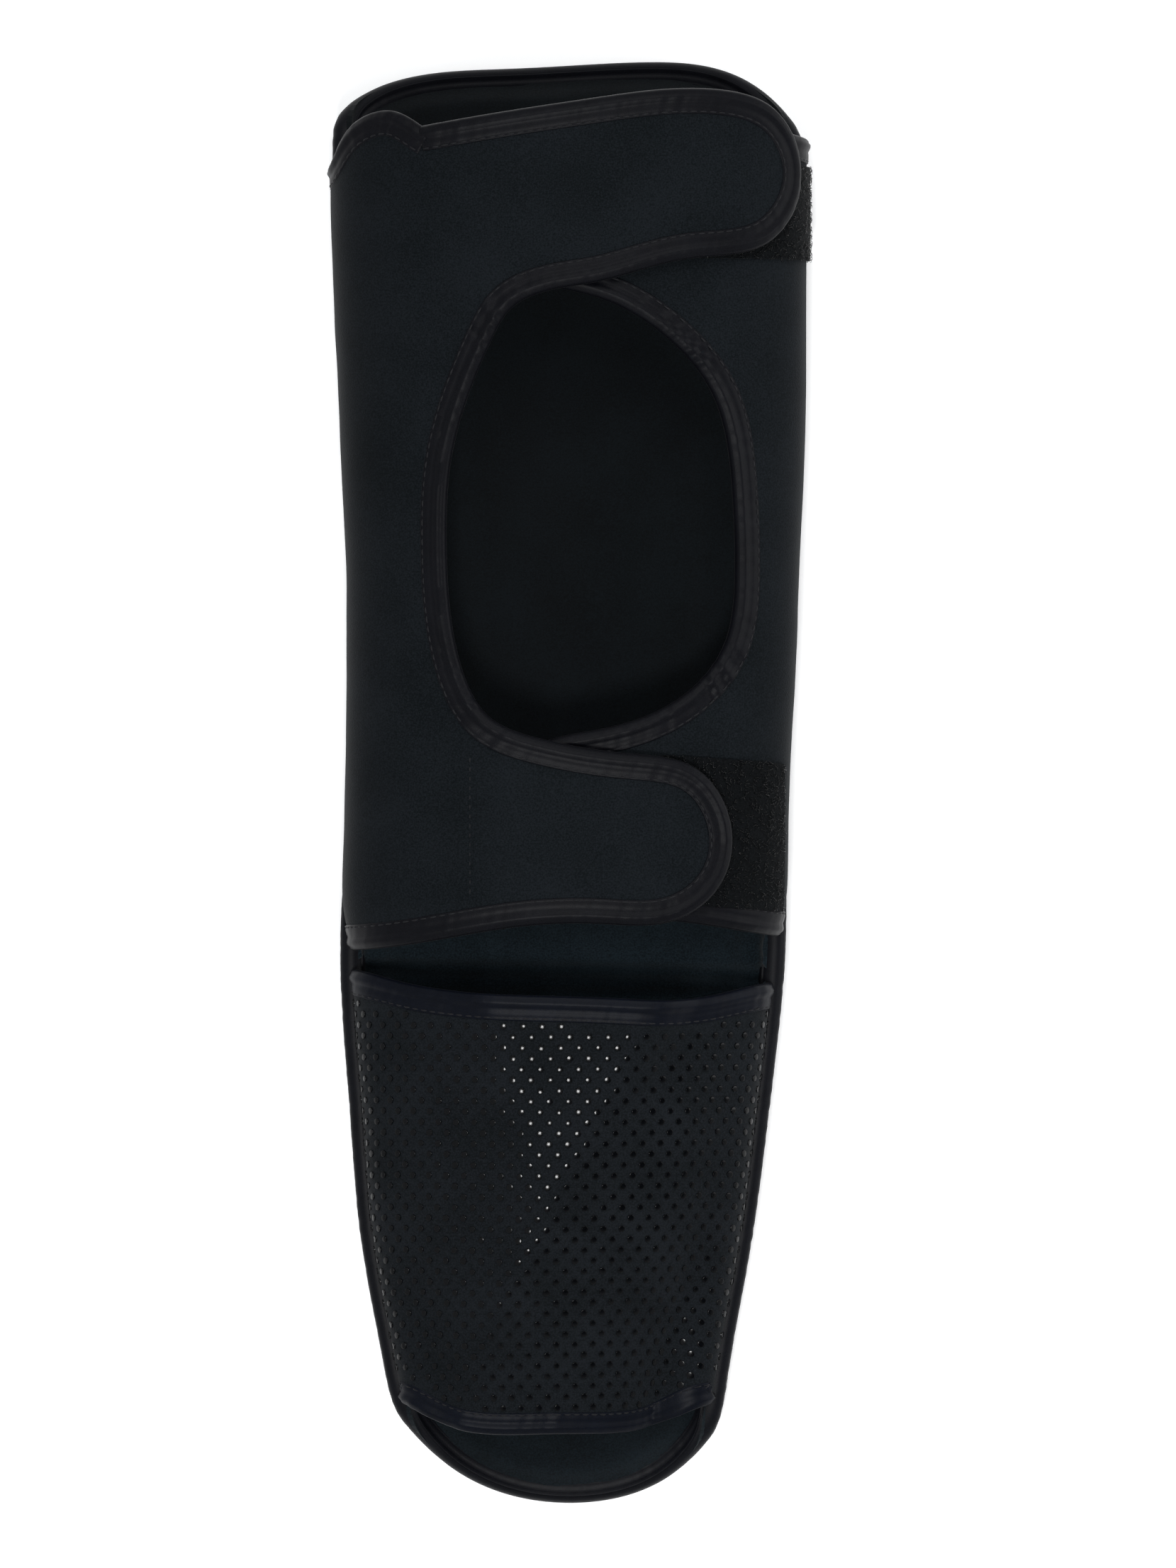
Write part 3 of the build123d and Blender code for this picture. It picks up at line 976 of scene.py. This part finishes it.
# ---- the sole band
SOLE_TAPES = (
    ("top", SOLE_TOP_EDGE, TAPE_WIDTH, 41.0),
    ("toe", SOLE_TOE_EDGE, TOE_TAPE_WIDTH, 47.0),
)  # name, edge, width, seed
DOT_PITCH = 6.3
DOT_ROW = 3.56
DOT_ROWS = 45
DOT_START_Y = -66.0
DOT_RADIUS = 1.12
DOT_HEIGHT = 0.45
DOT_LEAN = 0.022  # spread of the slopes of the dots' tops
DOT_SIDES = 12
DOT_PROFILE = [(1.0, -0.15), (1.0, 0.50), (0.96, 0.85), (0.90, 0.97), (0.84, 1.0)]  # out, up
FLAT_Y = [-206, -146, -84, -60]  # the band's flat wedge lies between two lines of w at these y
FLAT_RIGHT = [-34, -4, 25, 36]
FLAT_LEFT = [-35, -4, -19, -25]
FLAT_HEIGHT = 63.425  # over the table, carried on to y = 0
FLAT_SLOPE = 0.0875
FOLD_SOFT = 1.6


def sole_relief(surface):
    """The empty band's set: a flat wedge that narrows to a ridge running to the toe."""

    def relief(w, y):
        right = np.interp(y, FLAT_Y, FLAT_RIGHT)
        left = np.interp(y, FLAT_Y, FLAT_LEFT)
        end = surface.end(y)
        room_right = 0.3 * (end - right)
        room_left = 0.3 * (end + left)
        over_right = 1 - np.exp(-past(w - right, FOLD_SOFT) / room_right)
        over_left = 1 - np.exp(-past(left - w, FOLD_SOFT) / room_left)
        beyond = past(-148.0 - y, 6.0) * (1 + 0.02 * np.maximum(w, 0))
        drop = -0.25 * room_right * over_right - 0.18 * room_left * over_left - 0.09 * beyond
        flat = FLAT_HEIGHT + FLAT_SLOPE * y - surface.place(w, y)[..., 2]
        outside = np.maximum(w - right, left - w) - 1.0
        hold = eased(1 - outside / 16.0) * np.clip((y + 190.0) / 40.0, 0, 1)
        fade = eased((end - np.abs(w)) / 26.0)
        return drop * fade + flat * hold + 0.2 * ripple(w, y, 26.0, 31.0)

    return relief


def sole():
    """The sole band, its two bindings and its grip dots."""
    surface = sole_surface()
    relief = sole_relief(surface)
    loop = outline_on(surface, [SOLE_TOP_EDGE, SOLE_TOE_EDGE], SHEET_STEP, TAPE)
    cloth = slab(surface, loop, -SOLE_CLOTH, 0.0, 1.8, relief).make("sole_cloth", GRIP_CLOTH)
    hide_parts("sole_panel")
    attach(cloth, "instep")
    pieces = []
    for name, points, width, seed in SOLE_TAPES:
        line = free_edge(surface, points)
        edge = tape_on(surface, line, folded_tape(width, -SOLE_CLOTH, 0.0), seed, relief, 0.12)
        edge = edge.make(f"sole_{name}_tape", NAVY_TAPE)
        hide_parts(f"sole_{name}_binding")
        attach(edge, "instep")
        sewing = tape_stitches(surface, line, width, relief).make(f"sole_{name}_stitches", THREAD)
        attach(sewing, "instep")
        pieces += [edge, sewing]
    dots = grip_dots(surface, relief, loop).make("grip_dots", GRIP_VINYL)
    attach(dots, "instep")


def grip_dots(surface, relief, loop):
    """Low vinyl domes on a staggered lattice over the sole band."""
    centres = []
    for row in range(DOT_ROWS):
        shift = (row % 2) * DOT_PITCH / 2
        centres += [(shift + k * DOT_PITCH, DOT_START_Y - row * DOT_ROW) for k in range(-20, 21)]
    centres = np.array(centres, float)
    centres = centres[inside_outline(centres, loop)]
    for _, points, width, _ in SOLE_TAPES:
        line = free_edge(surface, points, 1.0)
        centres = centres[gap_to(centres, line) > width + 1.3]
    dice = np.random.default_rng(5)
    turn = np.arange(DOT_SIDES) * math.tau / DOT_SIDES
    domes = []
    for w, y in centres:
        radius = DOT_RADIUS * (0.90 + 0.14 * dice.random())
        lean = dice.normal(0.0, DOT_LEAN, 2)
        rings = []
        for out, up in DOT_PROFILE:
            ws = w + radius * out * np.cos(turn)
            ys = y + radius * out * np.sin(turn)
            tilt = (ws - w) * lean[0] + (ys - y) * lean[1]
            rings.append(surface.at(ws, ys, relief(ws, ys) + DOT_HEIGHT * up + tilt))
        dome = tube_of(np.array(rings).transpose(1, 0, 2), caps=False)
        middle = np.array([w]), np.array([y])
        peak = surface.at(*middle, relief(*middle) + DOT_HEIGHT * 1.02)
        last = len(dome.points)
        top = last - DOT_SIDES
        dome.faces += [(top + k, top + (k + 1) % DOT_SIDES, last) for k in range(DOT_SIDES)]
        dome.points = np.concatenate([dome.points, peak])
        domes.append(dome)
    return joined(domes)


# ---- the pad
ANKLE_PARTS = {
    "shin": lambda x, y, z: y > ANKLE_Y,
    "instep": lambda x, y, z: y <= ANKLE_Y,
}
ANKLE_FOLDS = [
    (-2.6, 0.0, 0.0, 1.9), (0.9, 3.0, 0.0, 1.3), (-1.9, -8.5, -0.04, 1.7), (1.3, 9.0, 0.0, 4.5),
    (1.0, -4.5, 0.0, 2.4),
]  # rise, place past the ankle line, lean, reach
PUFF_PRESSURE = 4.0
PUFF_FRAMES = 20
PUFF_MOST = 4.0


def thickness(lower, upper, w, y):
    """The pad's thickness at each point of its front."""
    here = lower.place(w, y)
    there = upper.place(w * upper.end(y) / lower.end(y), y)
    return np.linalg.norm(there - here, axis=-1)


def squeeze(thick, edge):
    """How far each face of the pad is pressed in, so that it ends as thin as its rim."""
    return np.maximum(0, thick - RIM) / 2 * eased(1 - edge / THIN_EDGE)


def pad():
    """The pad: a puffed front, a lining, and the tape round the rim."""
    outer = pad_surface(0)
    inner = pad_surface(1)
    middle = pad_surface(0.5)
    stretches = [PAD_KNEE_END, PAD_TOE_END]
    loop = rounded(outline_on(inner, stretches, PAD_STEP, TAPE), PAD_STEP, CORNER, EDGE_INSET)

    def lining_relief(w, y):
        line = y - ANKLE_Y + 1.2 + 0.02 * w
        folds = sum(rise * bell(line - at + lean * w, reach) for rise, at, lean, reach in ANKLE_FOLDS)
        swell = 0.5 * ripple(w * 1.6, y * 0.35, 26.0, 61.0) + 0.2 * ripple(w, y, 12.0, 67.0)
        edge = gap_to(np.stack([w, y], axis=-1), loop)
        long_folds = sum(bell(w - at, 5.0) for at in (-5.0, 44.0)) * np.clip((edge - 8) / 14, 0, 1)
        puffed_end = 1.8 * bell(edge - 9.5, 3.5)
        pressed = squeeze(thickness(inner, outer, w, y), edge)
        return folds + swell + 0.9 * long_folds + puffed_end - pressed

    for name, keep in ANKLE_PARTS.items():
        lining = slab(inner, loop, -LINING, 0.0, PAD_STEP, lining_relief, keep)
        lining = lining.make(f"{name}_lining_cloth", LINING_CLOTH)
        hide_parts(f"{name}_lining")
        on_ankle(lining)
    front(outer, inner, stretches)
    rim(middle, stretches)


def front_seams():
    """The sewn lines of the front: two long ones and the cross channels between them."""
    lines = []
    for side in (-1, 1):
        lines.append(smooth_line([(side * 46, 232), (side * 40, 120), (side * 42, -56)], 2.0))
        lines.append(smooth_line([(side * 40, -66), (side * 30, -150), (side * 14, -226)], 2.0))
    for y in (196, 150, 104, 58, 12, -30):
        lines.append(smooth_line([(-41, y), (0, y - 7), (41, y)], 2.0))
    for y, half in ((-100, 36), (-138, 31), (-176, 24)):
        lines.append(smooth_line([(-half, y), (0, y - 5), (half, y)], 2.0))
    lines.append(straight((-88, ANKLE_Y), (88, ANKLE_Y), 2.0))
    return lines


def front(outer, inner, stretches):
    """The front with its foam: sewn channels, puffed by a cloth simulation."""
    loop = rounded(outline_on(outer, stretches, FRONT_STEP, TAPE), FRONT_STEP, CORNER, EDGE_INSET)
    seams = front_seams()
    flat, faces = filled(loop, FRONT_STEP, seams)
    w, y = flat[:, 0], flat[:, 1]
    edge = gap_to(flat, loop)
    thick = thickness(outer, inner, w, y)
    pressed = squeeze(thick, edge)
    stitched = 1.0 + 1.0 * bell(gap_to(flat, np.concatenate(seams)), 2.2)
    notch = 9.0 * np.clip(1 - np.abs(y - ANKLE_Y) / 11.0, 0, 1)
    under_lining = LINING + 0.8 + 3.5 * bell(y - ANKLE_Y, 12.0)
    top = pressed + np.minimum(under_lining, 0.35 * thick)
    sink = np.maximum(pressed, 0.6) + stitched * np.clip(edge / 8, 0, 1) + notch
    sink = np.minimum(sink, thick - top - 1.0)
    inner_w = w * inner.end(y) / outer.end(y)
    shape = closed(faces, inner.at(inner_w, y, -top), outer.at(w, y, sink))
    groove = gap_to(flat, np.concatenate([spaced(line, 0.8) for line in seams]))
    free = np.clip((edge - 6.0) / 5.0, 0, 1) * np.clip((groove - 0.8) / 2.0, 0, 1)
    shape.points = puffed(shape, np.concatenate([np.ones(len(flat)), 1 - free]))
    shape.points[:, 2] = np.maximum(shape.points[:, 2], 0.0)
    for name, keep in ANKLE_PARTS.items():
        cover = shape.part(keep).make(f"{name}_front", LEATHER)
        soft = cover.modifiers.new("soft", "SUBSURF")
        soft.levels = 1
        soft.render_levels = 1
        nodes = [f"{name}_cover", f"{name}_foam_outer", f"{name}_foam_inner"]
        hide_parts(*nodes)
        on_ankle(cover)


def puffed(shape, pinned):
    """The shape's points after pressure has puffed what isn't pinned."""
    obj = shape.make("puffing", LEATHER)
    group = obj.vertex_groups.new(name="pinned")
    for i, weight in enumerate(pinned):
        group.add([i], float(weight), "REPLACE")
    cloth = obj.modifiers.new("cloth", "CLOTH")
    settings = cloth.settings
    settings.quality = 5
    settings.use_pressure = True
    settings.uniform_pressure_force = PUFF_PRESSURE
    settings.vertex_group_mass = "pinned"
    settings.effector_weights.gravity = 0.0
    cloth.point_cache.frame_start = 1
    cloth.point_cache.frame_end = PUFF_FRAMES
    for frame_number in range(1, PUFF_FRAMES + 1):
        bpy.context.scene.frame_set(frame_number)
    evaluated = obj.evaluated_get(bpy.context.evaluated_depsgraph_get())
    after = np.array([tuple(v.co) for v in evaluated.data.vertices]) * 1000
    bpy.context.scene.frame_set(1)
    bpy.data.objects.remove(obj)
    moved = after - shape.points
    length = np.linalg.norm(moved, axis=1, keepdims=True)
    return shape.points + moved * np.minimum(1, PUFF_MOST / np.maximum(length, 1e-9))


def rim(middle, stretches):
    """The tape folded over the pad's rim, in two lengths that meet at the ankle."""
    loop = rounded(outline_on(middle, stretches, 1.0), 1.0, CORNER)
    hidden = np.argmin(np.hypot(loop[:, 0] + 90, loop[:, 1] - 100))
    loop = np.roll(loop, -hidden, axis=0)
    loop = np.concatenate([loop, loop[:2]])
    shape = tape_on(middle, loop, folded_tape(RIM_TAPE, -RIM / 2, RIM / 2), 71.0, pucker=0.10)
    for name, keep in ANKLE_PARTS.items():
        # the rim tape uses the lighter satin, painted light against its shade
        tape = shape.part(keep).make(f"{name}_rim_tape", RIM_TAPE_PAINTED_LIGHT)
        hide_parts(f"{name}_rim_binding")
        on_ankle(tape)


# ---- camera, light, table, in metres
CAMERA_PLACE = (0.0062, -0.0004, 5.030)
CAMERA_LENS = 346.3
SKY_POLE = (0.34, -0.10, 0.935)  # the sky is darkest here
SKY_STRENGTH = 0.80
TABLE_GLOW = 0.22
LAMP_AIM = (0, -0.02, 0.03)
LAMPS = (
    ("key", (-0.05, -0.33, 1.25), 0.21, 10.5),
    ("knee", (0.1, 0.8, 1.2), 0.7, 7.0),
    ("right", (1.6, 0.3, 0.8), 1.2, 14.0),
)  # name, place, size, power


def sky(tree):
    """Soft light from all round, weaker from above and a little to the right."""
    direction = node(tree, "ShaderNodeTexCoord").outputs["Generated"]
    height = node(tree, "ShaderNodeVectorMath", direction, SKY_POLE, operation="DOT_PRODUCT")
    stops = [(0.76, (960, 980, 1000)), (0.93, (60, 60, 65))]
    colour = ramp(tree, height.outputs["Value"], stops)
    background = tree.nodes["Background"]
    background.inputs["Strength"].default_value = SKY_STRENGTH
    tree.links.new(colour, background.inputs["Color"])


def studio():
    """The camera, the table, the sky and the lamps."""
    scene = bpy.context.scene
    camera = placed("camera", bpy.data.cameras.new("camera"), CAMERA_PLACE)
    camera.data.lens = CAMERA_LENS
    camera.data.sensor_width = 36.0
    camera.data.clip_start = 0.01
    scene.camera = camera
    bpy.ops.mesh.primitive_plane_add(size=6, location=(0, 0, -0.0004))
    table = bpy.context.active_object
    table.name = "table"
    paper = Look("table_paper", 0.9, 0.1)
    paper.mottled((900, 900, 900), (920, 920, 920), 60.0)
    paper.inputs["Emission Color"].default_value = (1, 1, 1, 1)
    paper.inputs["Emission Strength"].default_value = TABLE_GLOW
    table.data.materials.append(paper.material)
    world = bpy.data.worlds.new("world")
    scene.world = world
    world.use_nodes = True
    sky(world.node_tree)
    scene.view_settings.view_transform = "Standard"
    for name, place, size, power in LAMPS:
        lamp = bpy.data.lights.new(name, "AREA")
        lamp.size = size
        lamp.energy = power
        aim = Vector(LAMP_AIM) - Vector(place)
        placed(name, lamp, place).rotation_euler = aim.to_track_quat("-Z", "Y").to_euler()


studio()
left_surface = left_side()
right_side(left_surface)
sole()
pad()
